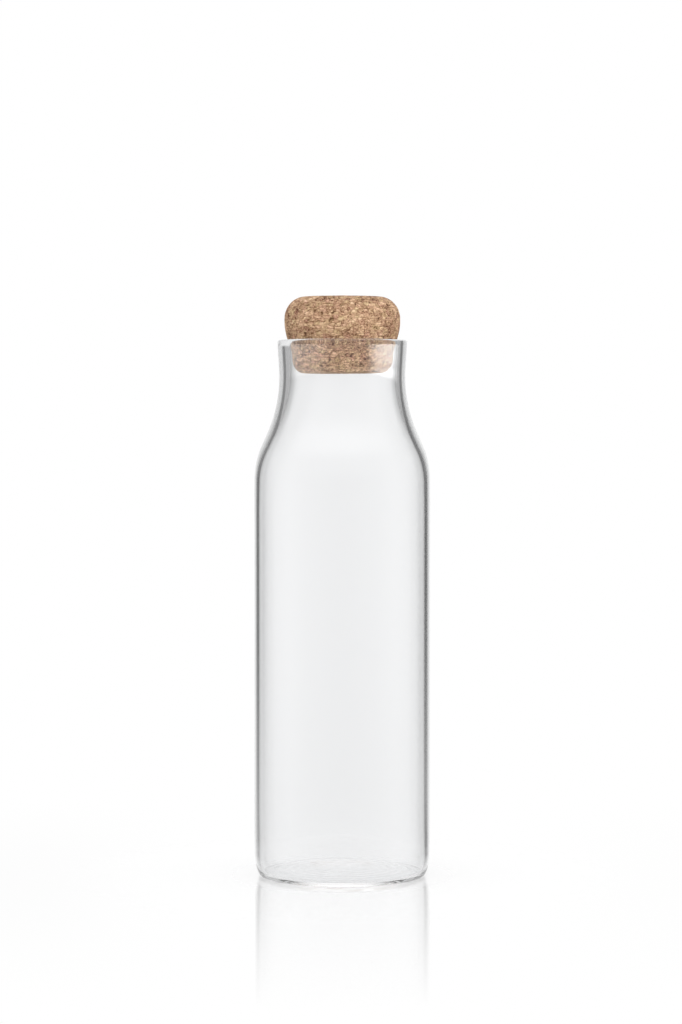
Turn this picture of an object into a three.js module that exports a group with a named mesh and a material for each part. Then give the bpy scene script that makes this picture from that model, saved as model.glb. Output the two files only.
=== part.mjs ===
import * as THREE from 'three';

// A clear glass water bottle with a one-piece cork stopper.
// Lengths are in millimetres and +Z is up. The origin is the middle of the bottle's base, so the
// bottle stands on the plane Z = 0 and its axis is the Z axis.
// An outline is a list of points (radius, height) that is turned around the Z axis.

// The outside of the bottle
const BODY_RADIUS = 41;
const RING_OUTER_RADIUS = 37.5;     // the flat ring that the bottle stands on
const RING_INNER_RADIUS = 33.5;
const BASE_CORNER_HEIGHT = 12;
const SHOULDER_START = 184.6;       // the straight body ends at this height
const SHOULDER_CURVE = 39.5;        // the radius of the shoulder's outward curve
const NECK_CURVE = 65;              // the radius of the neck's inward curve
const SHOULDER_SLOPE = degrees(24); // how far the straight between the two curves leans inward
const NECK_RADIUS = 29.35;          // at the narrowest place
const NECK_FLARE = degrees(3.8);    // how far the neck opens again towards the lip
const LIP_RADIUS = 30.2;
const LIP_HEIGHT = 250;
const LIP_CORNER = 1.2;             // the melted round of the lip's two edges

// The glass itself
const BODY_WALL = 2.3;
const LIP_WALL = 4.6;
const WALL_THICKENS_FROM = 165;     // above this height the wall grows evenly to the lip's
const PUNT_RISE = 1.2;              // the base is hollowed this far at its middle
const BASE_WALL = 2.3;
const FLOOR_RADIUS = 36.5;           // the inner floor, inside its rounded corner
const FLOOR_CORNER_HEIGHT = 9;

// The cork stopper, in the place where it closes the bottle
const PLUG_BOTTOM = 234.7;
const PLUG_BOTTOM_RADIUS = 18.2;
const PLUG_RADIUS = 23.5;
const PLUG_EDGE_HEIGHT = 7.2;       // the height of the plug's rounded lower edge
const HEAD_START = 249.7;           // level with the lip
const HEAD_WIDEST = 259.4;
const HEAD_RADIUS = 27;
const HEAD_LOWER_CURVE = 17.5;      // the half height of the ellipse below the widest place
const STOPPER_TOP = 270;
const TOP_RADIUS = 17.3;            // the flat top, inside its rounded edge

const SIDES = 64;                   // facets around the axis
const RIGHT_ANGLE = degrees(90);

function degrees(angle) {
  return THREE.MathUtils.degToRad(angle);
}

function point(radius, height) {
  return new THREE.Vector2(radius, height);
}

// Points on an ellipse around (centre.x, centre.y). The angle 0 points away from the axis.
function arc(centre, halfWidth, halfHeight, from, to, steps) {
  const points = [];
  for (let i = 0; i <= steps; i++) {
    const angle = from + (to - from) * i / steps;
    points.push(point(
      centre.x + halfWidth * Math.cos(angle),
      centre.y + halfHeight * Math.sin(angle),
    ));
  }
  return points;
}

// From the standing ring up to the lip: a rounded corner, the straight body, the shoulder's
// curve, a short straight, the neck's curve the other way, and a slight flare.
function outerWall() {
  const cornerWidth = BODY_RADIUS - RING_OUTER_RADIUS;
  const corner = arc(point(RING_OUTER_RADIUS, BASE_CORNER_HEIGHT),
    cornerWidth, BASE_CORNER_HEIGHT, -RIGHT_ANGLE, 0, 6);
  const body = evenPoints(point(BODY_RADIUS, BASE_CORNER_HEIGHT),
    point(BODY_RADIUS, WALL_THICKENS_FROM), 1).slice(1);

  const shoulder = arc(point(BODY_RADIUS - SHOULDER_CURVE, SHOULDER_START),
    SHOULDER_CURVE, SHOULDER_CURVE, 0, SHOULDER_SLOPE, 6);

  const curvedDrop = (SHOULDER_CURVE + NECK_CURVE) * (1 - Math.cos(SHOULDER_SLOPE));
  const straight = (BODY_RADIUS - NECK_RADIUS - curvedDrop) / Math.sin(SHOULDER_SLOPE);
  const neckHeight = SHOULDER_START + straight * Math.cos(SHOULDER_SLOPE)
    + (SHOULDER_CURVE + NECK_CURVE) * Math.sin(SHOULDER_SLOPE);
  const neck = arc(point(NECK_RADIUS + NECK_CURVE, neckHeight), -NECK_CURVE, -NECK_CURVE,
    SHOULDER_SLOPE, -NECK_FLARE, 8);

  const flare = evenPoints(neck.at(-1), point(LIP_RADIUS, LIP_HEIGHT - LIP_CORNER), 2).slice(1);
  return [...corner, ...body, ...shoulder, ...neck, ...flare];
}

function evenPoints(from, to, steps) {
  const points = [];
  for (let i = 0; i <= steps; i++) {
    points.push(from.clone().lerp(to, i / steps));
  }
  return points;
}

// The wall is even in the body and thickens through the shoulder and the neck.
function wallAt(height) {
  const growth = THREE.MathUtils.smoothstep(height, WALL_THICKENS_FROM, LIP_HEIGHT);
  return BODY_WALL + (LIP_WALL - BODY_WALL) * growth;
}

// The inside runs parallel to the outside at the wall's thickness, from below the lip down.
function innerWall(outer) {
  const inner = [];
  for (let i = outer.length - 2; i > 0; i--) {
    const below = outer[i - 1];
    const above = outer[i + 1];
    if (outer[i].y < WALL_THICKENS_FROM) {
      break;
    }
    const along = above.clone().sub(below).normalize();
    const wall = wallAt(outer[i].y);
    inner.push(point(outer[i].x - along.y * wall, outer[i].y + along.x * wall));
  }
  return inner;
}

// The hollow underside and the floor are shallow domes, one above the other.
function dome(edgeRadius, edgeHeight, steps) {
  const points = [];
  for (let i = 0; i <= steps; i++) {
    const share = i / steps;
    points.push(point(edgeRadius * share, edgeHeight + PUNT_RISE * (1 - share * share)));
  }
  return points;
}

function bottleOutline() {
  const underside = dome(RING_INNER_RADIUS, 0, 4);
  const outer = outerWall();
  const inner = innerWall(outer);
  const cornerTop = BASE_WALL + FLOOR_CORNER_HEIGHT;
  const floorCorner = arc(point(FLOOR_RADIUS, cornerTop),
    BODY_RADIUS - BODY_WALL - FLOOR_RADIUS, FLOOR_CORNER_HEIGHT, 0, -RIGHT_ANGLE, 6);
  const floor = dome(FLOOR_RADIUS, BASE_WALL, 4).reverse().slice(1);
  return [...underside, ...outer, ...lip(), ...inner, ...floorCorner, ...floor];
}

// The top of the wall, from its rounded outer edge to its rounded inner edge.
function lip() {
  const cornerHeight = LIP_HEIGHT - LIP_CORNER;
  const outerCorner = arc(point(LIP_RADIUS - LIP_CORNER, cornerHeight),
    LIP_CORNER, LIP_CORNER, 0, RIGHT_ANGLE, 4);
  const innerCorner = arc(point(LIP_RADIUS - LIP_WALL + LIP_CORNER, cornerHeight),
    LIP_CORNER, LIP_CORNER, RIGHT_ANGLE, 2 * RIGHT_ANGLE, 4);
  return [...outerCorner.slice(1), ...innerCorner];
}

// From the flat bottom of the plug, up past the lip to the bulging head and its flat top.
function stopperOutline() {
  const plugEdgeTop = PLUG_BOTTOM + PLUG_EDGE_HEIGHT;
  const plugEdge = arc(point(PLUG_BOTTOM_RADIUS, plugEdgeTop),
    PLUG_RADIUS - PLUG_BOTTOM_RADIUS, PLUG_EDGE_HEIGHT, -RIGHT_ANGLE, 0, 5);

  const headWidth = HEAD_RADIUS - TOP_RADIUS;
  const headCentre = point(TOP_RADIUS, HEAD_WIDEST);
  const headFrom = -Math.asin((HEAD_WIDEST - HEAD_START) / HEAD_LOWER_CURVE);
  const headLower = arc(headCentre, headWidth, HEAD_LOWER_CURVE, headFrom, 0, 4);
  const headUpper = arc(headCentre, headWidth, STOPPER_TOP - HEAD_WIDEST, 0, RIGHT_ANGLE, 8);

  // The plug's side leaves its edge upright and meets the head along the head's own curve.
  const handle = (HEAD_START - plugEdgeTop) * 0.4;
  const intoHead = headLower[1].clone().sub(headLower[0]).normalize();
  const plugSide = new THREE.CubicBezierCurve(
    plugEdge.at(-1),
    plugEdge.at(-1).clone().add(point(0, handle)),
    headLower[0].clone().addScaledVector(intoHead, -handle),
    headLower[0],
  ).getPoints(4);

  return [
    point(0, PLUG_BOTTOM),
    ...plugEdge,
    ...plugSide.slice(1, -1),
    ...headLower,
    ...headUpper.slice(1),
    point(0, STOPPER_TOP),
  ];
}

// LatheGeometry turns around Y, so the result is stood up to turn around Z.
function turned(name, outline, material) {
  const geometry = new THREE.LatheGeometry(outline, SIDES);
  geometry.rotateX(RIGHT_ANGLE);
  const mesh = new THREE.Mesh(geometry, material);
  mesh.name = name;
  return mesh;
}

const clearGlass = new THREE.MeshStandardMaterial({
  color: 0xeef3f3,
  roughness: 0.03,
  metalness: 0,
  transparent: true,
  opacity: 0.35,
});
const cork = new THREE.MeshStandardMaterial({
  color: 0xbf9a72,
  roughness: 0.85,
  metalness: 0,
});

const waterBottle = new THREE.Group();
waterBottle.add(turned('glass_bottle', bottleOutline(), clearGlass));
waterBottle.add(turned('cork_stopper', stopperOutline(), cork));

export default waterBottle;
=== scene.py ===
"""A clear glass water bottle closed by a cork stopper, standing on a plain pale floor.

Lengths are in metres, +Z is up, and the bottle's axis is the Z axis. An outline is a list of
points (radius, height) that is turned around that axis.
"""

import math

import bpy
import numpy as np
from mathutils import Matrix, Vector, kdtree, noise


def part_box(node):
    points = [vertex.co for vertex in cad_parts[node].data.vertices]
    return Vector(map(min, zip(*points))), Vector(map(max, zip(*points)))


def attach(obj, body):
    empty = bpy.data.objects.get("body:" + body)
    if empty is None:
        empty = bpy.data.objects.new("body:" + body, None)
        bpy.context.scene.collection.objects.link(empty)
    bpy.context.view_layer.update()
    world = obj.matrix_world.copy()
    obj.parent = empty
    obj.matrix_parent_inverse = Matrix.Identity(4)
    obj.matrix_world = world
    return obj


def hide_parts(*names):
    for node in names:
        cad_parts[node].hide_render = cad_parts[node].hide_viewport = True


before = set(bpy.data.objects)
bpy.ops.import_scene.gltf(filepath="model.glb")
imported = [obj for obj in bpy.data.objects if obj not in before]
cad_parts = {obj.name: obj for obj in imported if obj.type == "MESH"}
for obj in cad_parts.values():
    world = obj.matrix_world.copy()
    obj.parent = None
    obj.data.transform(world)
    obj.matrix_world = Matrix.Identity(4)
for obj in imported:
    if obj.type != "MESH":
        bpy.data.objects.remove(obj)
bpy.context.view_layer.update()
MM = 0.001

# ---------------------------------------------------------------- sizes

GLASS_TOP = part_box("glass_bottle")[1]
BODY_RADIUS = GLASS_TOP.x
LIP_HEIGHT = GLASS_TOP.z
RING_OUTER_RADIUS = 37.5 * MM           # the ring that the bottle stands on
RING_INNER_RADIUS = 33.5 * MM
BASE_CORNER_HEIGHT = 12 * MM
SHOULDER_START = 184.6 * MM
SHOULDER_CURVE = 39.5 * MM
NECK_CURVE = 65 * MM
SHOULDER_SLOPE = math.radians(24)
NECK_RADIUS = 29.35 * MM
NECK_FLARE = math.radians(3.8)
LIP_RADIUS = 30.2 * MM
LIP_CORNER = 1.2 * MM
LIP_CROWN = 0.12 * MM                   # the lip's top is very slightly domed

BODY_WALL = 2.3 * MM
LIP_WALL = 4.6 * MM
WALL_THICKENS_FROM = 165 * MM
PUNT_RISE = 1.2 * MM
BASE_WALL = 2.3 * MM
FLOOR_RADIUS = 36.5 * MM
FLOOR_CORNER_HEIGHT = 9 * MM

BODY_BORE_SHIFT = -0.2 * MM             # the bore is not quite in the middle of the glass
MOUTH_BORE_SHIFT = 0.3 * MM
BORE_SHIFT_FULL_FROM = 40 * MM          # the shift grows from the base up to this height
RIPPLE_DEPTH = 0.02 * MM                # drawing marks on the floor inside
RIPPLE_SPACING = 4.6 * MM
RIPPLE_EDGE = 4 * MM                    # the marks fade out over this width at the floor's edge
DIMPLE_CENTRE = (-3.5 * MM, -16 * MM)
DIMPLE_SPREAD = 4.5 * MM
DIMPLE_DEPTH = 0.1 * MM

STOPPER_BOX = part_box("cork_stopper")
PLUG_BOTTOM = STOPPER_BOX[0].z
STOPPER_TOP = STOPPER_BOX[1].z
HEAD_RADIUS = STOPPER_BOX[1].x
PLUG_BOTTOM_RADIUS = 18.2 * MM
PLUG_RADIUS = 23.5 * MM
PLUG_EDGE_HEIGHT = 7.2 * MM
HEAD_START = LIP_HEIGHT - 0.3 * MM
HEAD_WIDEST = 259.4 * MM
HEAD_LOWER_CURVE = 17.5 * MM
TOP_RADIUS = 17.3 * MM

QUARTER = math.pi / 2
BOTTLE_SEGMENTS = 256                   # facets around the axis
STOPPER_SEGMENTS = 420


# ---------------------------------------------------------------- outlines

def arc(centre, half_width, half_height, start, end, steps):
    """Points on an ellipse. The angle 0 points away from the axis."""
    angles = [start + (end - start) * i / steps for i in range(steps + 1)]
    return [
        (centre[0] + half_width * math.cos(a), centre[1] + half_height * math.sin(a))
        for a in angles
    ]


def straight(start, end, steps):
    """Even points from start to end, without start."""
    return [
        tuple(a + (b - a) * i / steps for a, b in zip(start, end))
        for i in range(1, steps + 1)
    ]


def smooth_step(value, start, end):
    share = min(max((value - start) / (end - start), 0.0), 1.0)
    return share * share * (3 - 2 * share)


def outer_wall():
    """From the standing ring up to the lip's outer edge."""
    corner = arc((RING_OUTER_RADIUS, BASE_CORNER_HEIGHT),
                 BODY_RADIUS - RING_OUTER_RADIUS, BASE_CORNER_HEIGHT, -QUARTER, 0, 24)
    body = straight(corner[-1], (BODY_RADIUS, WALL_THICKENS_FROM), 30)
    upper_body = straight(body[-1], (BODY_RADIUS, SHOULDER_START), 8)
    shoulder = arc((BODY_RADIUS - SHOULDER_CURVE, SHOULDER_START),
                   SHOULDER_CURVE, SHOULDER_CURVE, 0, SHOULDER_SLOPE, 20)[1:]

    both_curves = SHOULDER_CURVE + NECK_CURVE
    drop = BODY_RADIUS - NECK_RADIUS - both_curves * (1 - math.cos(SHOULDER_SLOPE))
    slope_length = drop / math.sin(SHOULDER_SLOPE)
    neck_height = (SHOULDER_START + slope_length * math.cos(SHOULDER_SLOPE)
                   + both_curves * math.sin(SHOULDER_SLOPE))
    neck = arc((NECK_RADIUS + NECK_CURVE, neck_height),
               -NECK_CURVE, -NECK_CURVE, SHOULDER_SLOPE, -NECK_FLARE, 30)
    slope = straight(shoulder[-1], neck[0], 4)[:-1]
    flare = straight(neck[-1], (LIP_RADIUS, LIP_HEIGHT - LIP_CORNER), 8)
    return corner + body + upper_body + shoulder + slope + neck + flare


def inner_wall(outer):
    """Parallel to the outside at the wall's thickness, from below the lip to the body."""
    inner = []
    for i in range(len(outer) - 2, 0, -1):
        radius, height = outer[i]
        if height < WALL_THICKENS_FROM - 1e-6:
            break
        along = (Vector(outer[i + 1]) - Vector(outer[i - 1])).normalized()
        growth = smooth_step(height, WALL_THICKENS_FROM, LIP_HEIGHT)
        wall = BODY_WALL + (LIP_WALL - BODY_WALL) * growth
        inner.append((radius - along.y * wall, height + along.x * wall))
    return inner


def dome(edge_radius, edge_height, steps):
    """A shallow dome from the axis out to its edge."""
    shares = [i / steps for i in range(steps + 1)]
    return [(edge_radius * s, edge_height + PUNT_RISE * (1 - s * s)) for s in shares]


def lip():
    """Over the top of the wall, from its outer to its inner rounded edge."""
    height = LIP_HEIGHT - LIP_CORNER - LIP_CROWN
    outer = LIP_RADIUS - LIP_CORNER
    inner = LIP_RADIUS - LIP_WALL + LIP_CORNER
    outer_edge = arc((outer, height), LIP_CORNER, LIP_CORNER, 0, QUARTER, 14)
    inner_edge = arc((inner, height), LIP_CORNER, LIP_CORNER, QUARTER, 2 * QUARTER, 14)
    middle = (outer + inner) / 2
    crown = arc((middle, height + LIP_CORNER), (outer - inner) / 2, LIP_CROWN, 0, math.pi, 10)
    return outer_edge[1:] + crown[1:-1] + inner_edge


def bottle_outlines():
    """The outside, from the middle of the underside over the lip, and the inside down from it."""
    underside = dome(RING_INNER_RADIUS, 0, 40)
    outer = outer_wall()
    ring = straight(underside[-1], outer[0], 4)[:-1]
    inner = inner_wall(outer)
    corner_top = BASE_WALL + FLOOR_CORNER_HEIGHT
    inner_radius = BODY_RADIUS - BODY_WALL
    inner_body = straight(inner[-1], (inner_radius, corner_top), 30)[:-1]
    corner = arc((FLOOR_RADIUS, corner_top), inner_radius - FLOOR_RADIUS,
                 FLOOR_CORNER_HEIGHT, 0, -QUARTER, 24)
    floor = dome(FLOOR_RADIUS, BASE_WALL, 80)[::-1][1:]
    return underside + ring + outer + lip(), inner + inner_body + corner + floor


def bezier(a, b, c, d, steps):
    """Points of a cubic curve, without its ends."""
    points = []
    for i in range(1, steps):
        t = i / steps
        weights = ((1 - t) ** 3, 3 * t * (1 - t) ** 2, 3 * t * t * (1 - t), t ** 3)
        points.append(tuple(
            sum(w * p[axis] for w, p in zip(weights, (a, b, c, d))) for axis in (0, 1)
        ))
    return points


def stopper_outline():
    """From the flat bottom of the plug up to the head's flat top."""
    edge_top = PLUG_BOTTOM + PLUG_EDGE_HEIGHT
    bottom = straight((0, PLUG_BOTTOM), (PLUG_BOTTOM_RADIUS, PLUG_BOTTOM), 40)[:-1]
    edge = arc((PLUG_BOTTOM_RADIUS, edge_top), PLUG_RADIUS - PLUG_BOTTOM_RADIUS,
               PLUG_EDGE_HEIGHT, -QUARTER, 0, 22)
    centre = (TOP_RADIUS, HEAD_WIDEST)
    start = -math.asin((HEAD_WIDEST - HEAD_START) / HEAD_LOWER_CURVE)
    lower = arc(centre, HEAD_RADIUS - TOP_RADIUS, HEAD_LOWER_CURVE, start, 0, 24)
    upper = arc(centre, HEAD_RADIUS - TOP_RADIUS, STOPPER_TOP - HEAD_WIDEST,
                0, QUARTER, 40)[1:]
    handle = (HEAD_START - edge_top) * 0.4
    into_head = (Vector(lower[1]) - Vector(lower[0])).normalized()
    side = bezier(edge[-1], (edge[-1][0], edge_top + handle),
                  tuple(Vector(lower[0]) - into_head * handle), lower[0], 20)
    top = straight((TOP_RADIUS, STOPPER_TOP), (0, STOPPER_TOP), 44)
    return [(0, PLUG_BOTTOM)] + bottom + edge + side + lower + upper + top


# ---------------------------------------------------------------- meshes

def turned(name, outline, segments):
    """A closed mesh: the outline, which starts and ends on the axis, turned around Z."""
    rings = outline[1:-1]
    points = [(0, 0, outline[0][1])]
    for radius, height in rings:
        for i in range(segments):
            angle = 2 * math.pi * i / segments
            points.append((radius * math.cos(angle), radius * math.sin(angle), height))
    points.append((0, 0, outline[-1][1]))
    last = len(points) - 1

    faces = []
    for i in range(segments):
        after = (i + 1) % segments
        faces.append((0, 1 + after, 1 + i))
        for ring in range(len(rings) - 1):
            low = 1 + ring * segments
            high = low + segments
            faces.append((low + i, low + after, high + after, high + i))
        top = last - segments
        faces.append((last, top + i, top + after))

    mesh = bpy.data.meshes.new(name)
    mesh.from_pydata(points, [], faces)
    mesh.shade_smooth()
    piece = bpy.data.objects.new(name, mesh)
    bpy.context.scene.collection.objects.link(piece)
    return piece


def bore_shift(height):
    """How far the inside lies to the side at this height. At the base it lies in the middle."""
    growth = smooth_step(height, SHOULDER_START, LIP_HEIGHT)
    shift = BODY_BORE_SHIFT + (MOUTH_BORE_SHIFT - BODY_BORE_SHIFT) * growth
    return shift * smooth_step(height, 0, BORE_SHIFT_FULL_FROM)


def floor_relief(x, y):
    """The drawing marks and the dimple of the floor inside, as a height to add."""
    radius = math.hypot(x, y)
    fade = smooth_step(radius, 0, FLOOR_RADIUS)
    fade *= smooth_step(FLOOR_RADIUS - radius, 0, RIPPLE_EDGE)
    ripple = RIPPLE_DEPTH * fade * math.sin(2 * math.pi * radius / RIPPLE_SPACING)
    away = math.hypot(x - DIMPLE_CENTRE[0], y - DIMPLE_CENTRE[1]) / DIMPLE_SPREAD
    return ripple - DIMPLE_DEPTH * math.exp(-away * away)


def work_inside(mesh, first):
    """Shift the inside and work its floor. The inside is the vertices from number first on."""
    for vertex in list(mesh.vertices)[first:]:
        x, y, height = vertex.co
        vertex.co.x = x + bore_shift(height)
        if height < BASE_WALL + PUNT_RISE and math.hypot(x, y) < FLOOR_RADIUS:
            vertex.co.z = height + floor_relief(x, y)


def make_bottle():
    outside, inside = bottle_outlines()
    bottle = turned("clear_glass_bottle", outside + inside, BOTTLE_SEGMENTS)
    work_inside(bottle.data, 1 + (len(outside) - 1) * BOTTLE_SEGMENTS)
    return bottle


GRAIN_SIZE = 2.3 * MM
FINE_GRAIN_SIZE = 1.0 * MM
GRAIN_FLATTENING = 1.5                  # the grains lie flat in the cork
COARSE_SEED = 11
FINE_SEED = 12
COARSE_SHARE = 0.62                     # the coarse grains' part of the tone
WOBBLE_SEED = 7
WOBBLE = 0.45 * MM                      # how far the grains' edges bend
WOBBLE_SIZE = 1.4 * MM                  # and over what length
PIT_SIZE = 1.7 * MM
SMALL_PIT_SIZE = 0.8 * MM
CRACK_SIZE = 2.6 * MM
CRACK_FLATTENING = 3.5
CRACK_PATCH_SIZE = 5 * MM
CRACK_PATCH_PLACE = Vector((7, 3, 5))   # where in the noise the patches of cracks are taken from
GRAIN_RELIEF = 0.10 * MM                # the darkest grains lie this much deeper than the palest
SEAM_DEPTH = 0.16 * MM
PIT_DEPTH = 0.45 * MM


class Grains:
    """Grains of cork packed at random, each with a tone and a turn of its growth lines."""

    def __init__(self, size, seed):
        self.size = size
        rng = np.random.RandomState(seed)
        reach = HEAD_RADIUS + 2 * size
        low = PLUG_BOTTOM - 2 * size
        high = STOPPER_TOP + 2 * size
        count = int((2 * reach) ** 2 * (high - low) / size ** 3 * GRAIN_FLATTENING)
        spread = rng.uniform(-1, 1, (count, 3))
        places = np.empty((count, 3))
        places[:, 0] = spread[:, 0] * reach
        places[:, 1] = spread[:, 1] * reach
        places[:, 2] = (low + (high - low) * (spread[:, 2] + 1) / 2) * GRAIN_FLATTENING
        self.tone = rng.uniform(0, 1, count)
        self.turn = rng.normal(0, 1, count)
        self.tree = kdtree.KDTree(count)
        for i, place in enumerate(places):
            self.tree.insert(place, i)
        self.tree.balance()

    def at(self, point):
        """The grain's number, and 0 at its seam up to about 1 at its middle."""
        spot = Vector((point.x, point.y, point.z * GRAIN_FLATTENING))
        first, second = self.tree.find_n(spot, 2)
        return first[1], min((second[2] - first[2]) / (0.5 * self.size), 1.0)


def pit_at(point):
    """1 in the round holes of the cork, 0 between them."""
    pits = noise.noise(point / PIT_SIZE) + 0.5 * noise.noise(point / SMALL_PIT_SIZE)
    return smooth_step(pits, 0.42, 0.72)


def crack_at(point):
    """1 in the flat, thin cracks of the cork, which come in patches, and 0 between them."""
    flattened = Vector((point.x, point.y, point.z * CRACK_FLATTENING))
    waves = noise.noise(flattened / CRACK_SIZE)
    patches = noise.noise(point / CRACK_PATCH_SIZE + CRACK_PATCH_PLACE)
    return smooth_step(0.05 - abs(waves), 0, 0.05) * smooth_step(patches, 0.05, 0.3)


def cork_surface(point, coarse, fine):
    """The tone, the grain's turn, the hollow (0 to 1) and the depth of the relief at a point."""
    wobble = noise.noise_vector(point / WOBBLE_SIZE) * WOBBLE
    number, inside = coarse.at(point + wobble)
    small_number, small_inside = fine.at(point + wobble * 0.5)
    seam = 1 - smooth_step(inside, 0, 0.3)
    small_seam = 1 - smooth_step(small_inside, 0, 0.35)
    pit = pit_at(point)
    crack = crack_at(point)
    tone = (COARSE_SHARE * coarse.tone[number]
            + (1 - COARSE_SHARE) * fine.tone[small_number])
    hollow = min(max(pit, 0.85 * crack, 0.5 * seam), 1.0)
    depth = (GRAIN_RELIEF * (1 - tone) + SEAM_DEPTH * (0.7 * seam + 0.3 * small_seam)
             + PIT_DEPTH * max(pit, 0.7 * crack))
    return tone, coarse.turn[number], hollow, depth


def make_stopper():
    """The turned cork, with its grains as relief and as the attributes that colour it."""
    noise.seed_set(WOBBLE_SEED)
    stopper = turned("turned_cork_stopper", stopper_outline(), STOPPER_SEGMENTS)
    mesh = stopper.data
    coarse = Grains(GRAIN_SIZE, COARSE_SEED)
    fine = Grains(FINE_GRAIN_SIZE, FINE_SEED)
    surface = [cork_surface(vertex.co.copy(), coarse, fine) for vertex in mesh.vertices]
    tones, turns, hollows, depths = zip(*surface)
    for name, values in (("tone", tones), ("turn", turns), ("hollow", hollows)):
        mesh.attributes.new(name, "FLOAT", "POINT").data.foreach_set("value", values)
    normals = [vertex.normal.copy() for vertex in mesh.vertices]
    for vertex, normal, depth in zip(mesh.vertices, normals, depths):
        vertex.co -= normal * depth
    mesh.update()
    return stopper


# ---------------------------------------------------------------- materials

def new_material(name):
    material = bpy.data.materials.new(name)
    material.use_nodes = True
    nodes = material.node_tree.nodes
    nodes.clear()
    return material, nodes, material.node_tree.links


def glass_material():
    """Clear glass with a trace of tint."""
    material, nodes, links = new_material("clear_glass")
    output = nodes.new("ShaderNodeOutputMaterial")
    shader = nodes.new("ShaderNodeBsdfPrincipled")
    shader.inputs["Base Color"].default_value = (0.955, 0.958, 0.962, 1)
    shader.inputs["Roughness"].default_value = 0
    shader.inputs["IOR"].default_value = 1.474
    shader.inputs["Transmission Weight"].default_value = 1
    links.new(shader.outputs[0], output.inputs["Surface"])
    return material


PLUG_PAINTED_LIGHT = 1.38                    # painted light: brightens the plug's colour to make up for the light that the glass before it takes
PAINTED_LIGHT_FULL_BELOW = LIP_HEIGHT - 6 * MM
PAINTED_LIGHT_ENDS = LIP_HEIGHT + 3 * MM
NOISE_RANGE = (0.3, 0.7)                # nearly all values of a noise lie in this range
GRAIN_TONES = (0.33, 0.75)              # the tones of the darkest and the palest grain
LINE_TONES = (-0.40, 0.36)              # what each pattern adds to them
MARK_TONES = (-0.14, 0.14)
SPECK_TONES = (-0.27, 0.27)
PATCH_TONES = (-0.12, 0.12)
HOLLOW_DARKENING = 0.62
LINE_SCALE = (420, 420, 2300)           # the patterns' scales are per metre
MARK_SCALE = (110, 110, 2800)
SPECK_SCALE = 2600
PATCH_SCALE = 110
HUES = (0.487, 0.513)                   # 0.5 leaves the hue as it is
CORK_TONES = (                          # (tone, colour)
    (0.00, (0.110, 0.048, 0.026)),
    (0.20, (0.280, 0.145, 0.078)),
    (0.45, (0.470, 0.288, 0.168)),
    (0.70, (0.630, 0.412, 0.252)),
    (1.00, (0.850, 0.625, 0.420)),
)


def attribute(nodes, name):
    node = nodes.new("ShaderNodeAttribute")
    node.attribute_name = name
    return node.outputs["Fac"]


def math_node(nodes, links, operation, first, second):
    node = nodes.new("ShaderNodeMath")
    node.operation = operation
    for socket, value in zip(node.inputs, (first, second)):
        if isinstance(value, (int, float)):
            socket.default_value = value
        else:
            links.new(value, socket)
    return node.outputs[0]


def spread_node(nodes, links, value, low, high, to_low, to_high):
    node = nodes.new("ShaderNodeMapRange")
    links.new(value, node.inputs["Value"])
    node.inputs["From Min"].default_value = low
    node.inputs["From Max"].default_value = high
    node.inputs["To Min"].default_value = to_low
    node.inputs["To Max"].default_value = to_high
    return node.outputs["Result"]


def noise_node(nodes, links, vector, scale, detail):
    node = nodes.new("ShaderNodeTexNoise")
    links.new(vector, node.inputs["Vector"])
    node.inputs["Scale"].default_value = scale
    node.inputs["Detail"].default_value = detail
    return node.outputs["Fac"]


def scaled(nodes, links, vector, scale):
    node = nodes.new("ShaderNodeMapping")
    node.inputs["Scale"].default_value = scale
    links.new(vector, node.inputs["Vector"])
    return node.outputs[0]


def growth_lines(nodes, links, place):
    """Fine layers that run through each grain in the grain's own direction."""
    tilt = nodes.new("ShaderNodeVectorRotate")
    tilt.inputs["Axis"].default_value = (0.6, 0.8, 0)
    angle = math_node(nodes, links, "MULTIPLY", attribute(nodes, "turn"), 0.45)
    links.new(place, tilt.inputs["Vector"])
    links.new(angle, tilt.inputs["Angle"])
    layers = scaled(nodes, links, tilt.outputs[0], LINE_SCALE)
    lines = noise_node(nodes, links, layers, 1, 3)
    return spread_node(nodes, links, lines, *NOISE_RANGE, *LINE_TONES)


def turning_marks(nodes, links, place):
    """Faint level lines that the turning tool left all round."""
    rounds = scaled(nodes, links, place, MARK_SCALE)
    marks = noise_node(nodes, links, rounds, 1, 2)
    return spread_node(nodes, links, marks, *NOISE_RANGE, *MARK_TONES)


def cork_colour(nodes, links, tone, place):
    """The colour of a tone, redder or yellower grain by grain, and brightened on the plug by
    painted light that makes up for the light the glass before it takes.
    """
    ramp = nodes.new("ShaderNodeValToRGB")
    stops = ramp.color_ramp.elements
    for i, (position, colour) in enumerate(CORK_TONES):
        stop = stops[i] if i < 2 else stops.new(position)
        stop.position = position
        stop.color = (*colour, 1)
    links.new(tone, ramp.inputs["Fac"])

    parts = nodes.new("ShaderNodeSeparateXYZ")
    links.new(place, parts.inputs[0])
    # painted light: the plug's colour is brightened fully up to 6 mm below the lip and fades out
    # by 3 mm above it
    brightness = spread_node(nodes, links, parts.outputs["Z"],
                             PAINTED_LIGHT_FULL_BELOW, PAINTED_LIGHT_ENDS, PLUG_PAINTED_LIGHT, 1)
    hue = spread_node(nodes, links, attribute(nodes, "turn"), -2, 2, *HUES)
    shift = nodes.new("ShaderNodeHueSaturation")
    links.new(brightness, shift.inputs["Value"])
    links.new(hue, shift.inputs["Hue"])
    links.new(ramp.outputs["Color"], shift.inputs["Color"])
    return shift.outputs["Color"]


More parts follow.
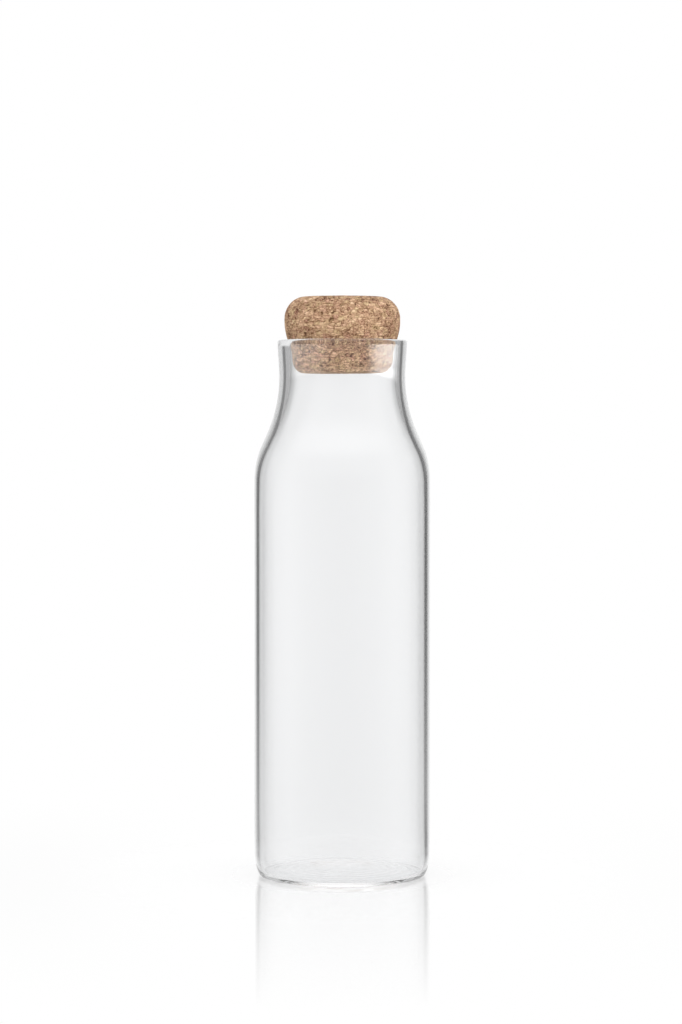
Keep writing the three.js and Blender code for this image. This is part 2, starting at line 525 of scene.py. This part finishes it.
def cork_material():
    material, nodes, links = new_material("agglomerated_cork")
    output = nodes.new("ShaderNodeOutputMaterial")
    shader = nodes.new("ShaderNodeBsdfPrincipled")
    place = nodes.new("ShaderNodeTexCoord").outputs["Object"]

    lines = growth_lines(nodes, links, place)
    marks = turning_marks(nodes, links, place)
    speck_noise = noise_node(nodes, links, place, SPECK_SCALE, 4)
    specks = spread_node(nodes, links, speck_noise, *NOISE_RANGE, *SPECK_TONES)
    patch_noise = noise_node(nodes, links, place, PATCH_SCALE, 2)
    patches = spread_node(nodes, links, patch_noise, *NOISE_RANGE, *PATCH_TONES)

    tone = spread_node(nodes, links, attribute(nodes, "tone"), 0, 1, *GRAIN_TONES)
    for part in (lines, marks, specks, patches):
        tone = math_node(nodes, links, "ADD", tone, part)
    dark = math_node(nodes, links, "MULTIPLY", attribute(nodes, "hollow"), HOLLOW_DARKENING)
    tone = math_node(nodes, links, "SUBTRACT", tone, dark)
    links.new(cork_colour(nodes, links, tone, place), shader.inputs["Base Color"])

    bump = nodes.new("ShaderNodeBump")
    bump.inputs["Strength"].default_value = 0.7
    bump.inputs["Distance"].default_value = 0.15 * MM
    links.new(math_node(nodes, links, "ADD", lines, specks), bump.inputs["Height"])
    links.new(bump.outputs["Normal"], shader.inputs["Normal"])
    links.new(spread_node(nodes, links, tone, 0, 1, 0.9, 0.72), shader.inputs["Roughness"])
    shader.inputs["Specular IOR Level"].default_value = 0.3
    links.new(shader.outputs[0], output.inputs["Surface"])
    return material


# ---------------------------------------------------------------- surroundings

TABLE_RADIUS = 0.5
TABLE_SEGMENTS = 128
TABLE_GAP = 0.05 * MM       # a breath of air under the ring that the bottle stands on
TABLE_WHITE = 0.3           # the share of light that the table's matte white scatters
TABLE_GLOW = 0.7            # the table is lit from below
MATTE_FADE = (0.04, 0.13)   # the matte white fades into the white studio between these radii
SHEEN_FADE = (0.035, 0.31)  # the mirror image is full up to the first radius, gone at the second
SHEEN_ROUGHNESS = 0.02
SHEEN_STEEP = 0.04          # how much the table mirrors seen from above
SHEEN_GRAZING = 0.42        # and seen at a grazing angle
SHEEN_SLANTS = (0.55, 0.82)  # it goes from the one to the other between these slants


def table_material():
    """Matte white lit from below, with a mirror image that is weak and fades with distance."""
    material, nodes, links = new_material("pale_floor")
    output = nodes.new("ShaderNodeOutputMaterial")
    place = nodes.new("ShaderNodeTexCoord").outputs["Object"]
    length = nodes.new("ShaderNodeVectorMath")
    length.operation = "LENGTH"
    links.new(place, length.inputs[0])
    distance = length.outputs["Value"]

    white = nodes.new("ShaderNodeBsdfDiffuse")
    white.inputs["Color"].default_value = (TABLE_WHITE, TABLE_WHITE, TABLE_WHITE, 1)
    glow = nodes.new("ShaderNodeEmission")
    glow.inputs["Strength"].default_value = TABLE_GLOW
    lit_white = nodes.new("ShaderNodeAddShader")
    links.new(white.outputs[0], lit_white.inputs[0])
    links.new(glow.outputs[0], lit_white.inputs[1])
    clear = nodes.new("ShaderNodeBsdfTransparent")
    matte = nodes.new("ShaderNodeMixShader")
    links.new(spread_node(nodes, links, distance, *MATTE_FADE, 1, 0), matte.inputs["Fac"])
    links.new(clear.outputs[0], matte.inputs[1])
    links.new(lit_white.outputs[0], matte.inputs[2])

    mirror = nodes.new("ShaderNodeBsdfGlossy")
    mirror.inputs["Color"].default_value = (1, 1, 1, 1)
    mirror.inputs["Roughness"].default_value = SHEEN_ROUGHNESS
    slant = nodes.new("ShaderNodeLayerWeight")
    slant.inputs["Blend"].default_value = 0.5
    by_angle = spread_node(nodes, links, slant.outputs["Facing"], *SHEEN_SLANTS,
                           SHEEN_STEEP, SHEEN_GRAZING)
    by_distance = spread_node(nodes, links, distance, *SHEEN_FADE, 1, 0)
    sheen = nodes.new("ShaderNodeMixShader")
    links.new(math_node(nodes, links, "MULTIPLY", by_distance, by_angle), sheen.inputs["Fac"])
    links.new(matte.outputs[0], sheen.inputs[1])
    links.new(mirror.outputs[0], sheen.inputs[2])
    links.new(sheen.outputs[0], output.inputs["Surface"])
    return material


def make_table():
    points = [(0, 0, -TABLE_GAP)]
    for i in range(TABLE_SEGMENTS):
        angle = 2 * math.pi * i / TABLE_SEGMENTS
        points.append((TABLE_RADIUS * math.cos(angle),
                       TABLE_RADIUS * math.sin(angle), -TABLE_GAP))
    faces = [(0, 1 + i, 1 + (i + 1) % TABLE_SEGMENTS) for i in range(TABLE_SEGMENTS)]
    mesh = bpy.data.meshes.new("floor")
    mesh.from_pydata(points, [], faces)
    floor = bpy.data.objects.new("floor", mesh)
    bpy.context.scene.collection.objects.link(floor)
    floor.data.materials.append(table_material())


# Brightness round the horizon: (azimuth from +Y, clockwise seen from above, in degrees, level).
# The two dark bands behind the bottle draw the dark lines along the edges of the glass.
HORIZON = (
    (-180, 0.5), (-135, 0.65), (-105, 0.9), (-68, 0.9), (-60, 0.5), (-39, 0.45), (-35, 0.13),
    (-27, 0.1), (-23.5, 0.42), (-17.5, 0.66), (-14.5, 0.82), (-12, 0.9), (-6, 0.92), (-3.5, 1),
    (4, 1), (7, 0.96), (12, 0.95), (14.5, 0.9), (17.5, 0.78), (23.5, 0.45), (27, 0.08),
    (35, 0.08), (39, 0.42), (60, 0.5), (68, 0.9), (105, 0.9), (135, 0.65), (180, 0.5),
)
OVERHEAD = 1.5                          # the level overhead, reached between two elevations
OVERHEAD_START = math.radians(28)
OVERHEAD_FULL = math.radians(60)
BELOW = 0.88                            # the level below the horizon, in the same way
BELOW_START = math.radians(-3)
BELOW_FULL = math.radians(-17)


def horizon_levels(nodes, links, azimuth):
    """The levels of HORIZON as a colour ramp round the horizon."""
    turn = spread_node(nodes, links, azimuth, -math.pi, math.pi, 0, 1)
    ramp = nodes.new("ShaderNodeValToRGB")
    ramp.color_ramp.interpolation = "LINEAR"
    stops = ramp.color_ramp.elements
    for i, (angle, level) in enumerate(HORIZON):
        position = (angle + 180) / 360
        stop = stops[i] if i < 2 else stops.new(position)
        stop.position = position
        stop.color = (level, level, level, 1)
    links.new(turn, ramp.inputs["Fac"])
    return ramp.outputs["Color"]


def eased_rise(nodes, links, height, start, full):
    """0 at the elevation start, rising smoothly to 1 at the elevation full."""
    rise = nodes.new("ShaderNodeMapRange")
    rise.interpolation_type = "SMOOTHSTEP"
    rise.inputs["From Min"].default_value = math.sin(start)
    rise.inputs["From Max"].default_value = math.sin(full)
    links.new(height, rise.inputs["Value"])
    return rise.outputs["Result"]


def towards_level(nodes, links, colour, share, level):
    """The colour, replaced by an even level as far as share says."""
    mix = nodes.new("ShaderNodeMix")
    mix.data_type = "RGBA"
    mix.inputs["B"].default_value = (level, level, level, 1)
    links.new(share, mix.inputs["Factor"])
    links.new(colour, mix.inputs["A"])
    return mix.outputs["Result"]


def make_world():
    """White where the camera sees it. The glass and the cork see the levels of the studio."""
    world = bpy.data.worlds.new("studio")
    bpy.context.scene.world = world
    world.use_nodes = True
    nodes = world.node_tree.nodes
    links = world.node_tree.links
    nodes.clear()
    output = nodes.new("ShaderNodeOutputWorld")
    studio = nodes.new("ShaderNodeBackground")
    white = nodes.new("ShaderNodeBackground")
    white.inputs["Color"].default_value = (1, 1, 1, 1)
    pick = nodes.new("ShaderNodeMixShader")
    path = nodes.new("ShaderNodeLightPath")
    place = nodes.new("ShaderNodeTexCoord")
    parts = nodes.new("ShaderNodeSeparateXYZ")
    links.new(place.outputs["Generated"], parts.inputs[0])
    azimuth = math_node(nodes, links, "ARCTAN2", parts.outputs["X"], parts.outputs["Y"])
    height = parts.outputs["Z"]
    overhead = eased_rise(nodes, links, height, OVERHEAD_START, OVERHEAD_FULL)
    below = eased_rise(nodes, links, height, BELOW_START, BELOW_FULL)
    horizon = horizon_levels(nodes, links, azimuth)
    with_overhead = towards_level(nodes, links, horizon, overhead, OVERHEAD)
    with_below = towards_level(nodes, links, with_overhead, below, BELOW)
    links.new(with_below, studio.inputs["Color"])
    links.new(path.outputs["Is Camera Ray"], pick.inputs["Fac"])
    links.new(studio.outputs[0], pick.inputs[1])
    links.new(white.outputs[0], pick.inputs[2])
    links.new(pick.outputs[0], output.inputs["Surface"])


# The soft reflections on the mouth come from a curved row of narrow lights, each aimed at the
# place on the mouth that mirrors it to the camera.
# Their brightness: (the direction that the glass faces there, in degrees from the front, level)
VEIL_LEVELS = ((-52, 3.2), (-24, 3.2), (-8, 0), (22, 0), (34, 13), (47, 13), (58, 3))
VEIL_STEP = 3                           # degrees from one light to the next
VEIL_OVERLAP = 3                        # each light is this many steps wide
VEIL_SPREAD = math.radians(23)          # they shine only close to where they are aimed
# Three lights behind one another give a soft upper and lower edge: (distance from the mouth,
# height, share of the level).
VEIL_LAYERS = ((0.250, 0.017, 0.45), (0.252, 0.022, 0.33), (0.254, 0.027, 0.22))
MOUTH_LEAN = math.radians(3.5)          # the mouth's wall leans outward by this much
VEIL_TARGET_HEIGHT = LIP_HEIGHT - 5 * MM


def level_at(azimuth):
    """The brightness between the two nearest entries of VEIL_LEVELS."""
    for (start, low), (end, high) in zip(VEIL_LEVELS, VEIL_LEVELS[1:]):
        if start <= azimuth <= end:
            return low + (high - low) * (azimuth - start) / (end - start)
    return 0


def veil_light(azimuth, distance, height, level, camera_place):
    """One light, placed where the mouth at this azimuth mirrors it to the camera."""
    turn = math.radians(azimuth)
    normal = Vector((math.sin(turn), -math.cos(turn), -math.tan(MOUTH_LEAN))).normalized()
    target = Vector((LIP_RADIUS * math.sin(turn), -LIP_RADIUS * math.cos(turn),
                     VEIL_TARGET_HEIGHT))
    mirrored = (target - camera_place).normalized().reflect(normal)
    light = bpy.data.lights.new("veil", "AREA")
    light.shape = "ELLIPSE"
    light.size = VEIL_OVERLAP * distance * 2 * math.radians(VEIL_STEP)
    light.size_y = height
    light.spread = VEIL_SPREAD
    half = VEIL_SPREAD / 2
    peak = math.tan(half) / (math.tan(half) - half)     # a narrow spread concentrates the light
    light.energy = level * math.pi * light.size * height / VEIL_OVERLAP / peak
    lamp = bpy.data.objects.new("veil", light)
    lamp.location = target + mirrored * distance
    lamp.rotation_euler = mirrored.to_track_quat("Z", "Y").to_euler()
    lamp.visible_camera = False
    lamp.visible_transmission = False
    bpy.context.scene.collection.objects.link(lamp)


def veil_lights():
    camera_place = Vector((CAMERA_ASIDE, -CAMERA_DISTANCE, CAMERA_HEIGHT))
    azimuth = VEIL_LEVELS[0][0] + VEIL_STEP / 2
    while azimuth < VEIL_LEVELS[-1][0]:
        level = level_at(azimuth)
        if level > 0:
            for distance, height, share in VEIL_LAYERS:
                veil_light(azimuth, distance, height, level * share, camera_place)
        azimuth += VEIL_STEP


FILL_PLACE = (0.16, -0.85, 0.16)
FILL_SIZE = 0.4
FILL_RADIANCE = 5.2


def stopper_fill(stopper):
    """A soft light from the front for the stopper alone. The glass casts no shadow in it."""
    light = bpy.data.lights.new("stopper_fill", "AREA")
    light.shape = "SQUARE"
    light.size = FILL_SIZE
    light.energy = FILL_RADIANCE * math.pi * FILL_SIZE ** 2
    lamp = bpy.data.objects.new("stopper_fill", light)
    lamp.location = FILL_PLACE
    towards = Vector((0, 0, LIP_HEIGHT)) - Vector(FILL_PLACE)
    lamp.rotation_euler = towards.to_track_quat("-Z", "Y").to_euler()
    lamp.visible_camera = False
    lit = bpy.data.collections.new("lit_by_the_fill")
    lit.objects.link(stopper)
    lamp.light_linking.receiver_collection = lit
    lamp.light_linking.blocker_collection = lit
    bpy.context.scene.collection.objects.link(lamp)


CAMERA_DISTANCE = 1.416
CAMERA_HEIGHT = 0.2237
CAMERA_ASIDE = -0.6 * MM
CAMERA_PITCH = math.radians(-2.18)
CAMERA_LENS = 106.9
MOST_BOUNCES = 128


def make_camera():
    data = bpy.data.cameras.new("camera")
    data.lens = CAMERA_LENS
    data.sensor_width = 36
    camera = bpy.data.objects.new("camera", data)
    camera.location = (CAMERA_ASIDE, -CAMERA_DISTANCE, CAMERA_HEIGHT)
    camera.rotation_euler = (QUARTER + CAMERA_PITCH, 0, 0)
    bpy.context.scene.collection.objects.link(camera)
    bpy.context.scene.camera = camera


def set_rendering():
    scene = bpy.context.scene
    scene.view_settings.view_transform = "Standard"
    # Light that is caught in the glass is reflected many times before it leaves it.
    scene.cycles.max_bounces = MOST_BOUNCES
    scene.cycles.transmission_bounces = MOST_BOUNCES
    scene.cycles.glossy_bounces = MOST_BOUNCES
    # A ray that passes several of the narrow lights uses up one of these for each.
    scene.cycles.transparent_max_bounces = MOST_BOUNCES


# ---------------------------------------------------------------- the whole

make_camera()
set_rendering()
make_world()
make_table()
veil_lights()

bottle = make_bottle()
bottle.data.materials.append(glass_material())
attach(bottle, "bottle")
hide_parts("glass_bottle")

stopper = make_stopper()
stopper.data.materials.append(cork_material())
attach(stopper, "stopper")
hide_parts("cork_stopper")
stopper_fill(stopper)
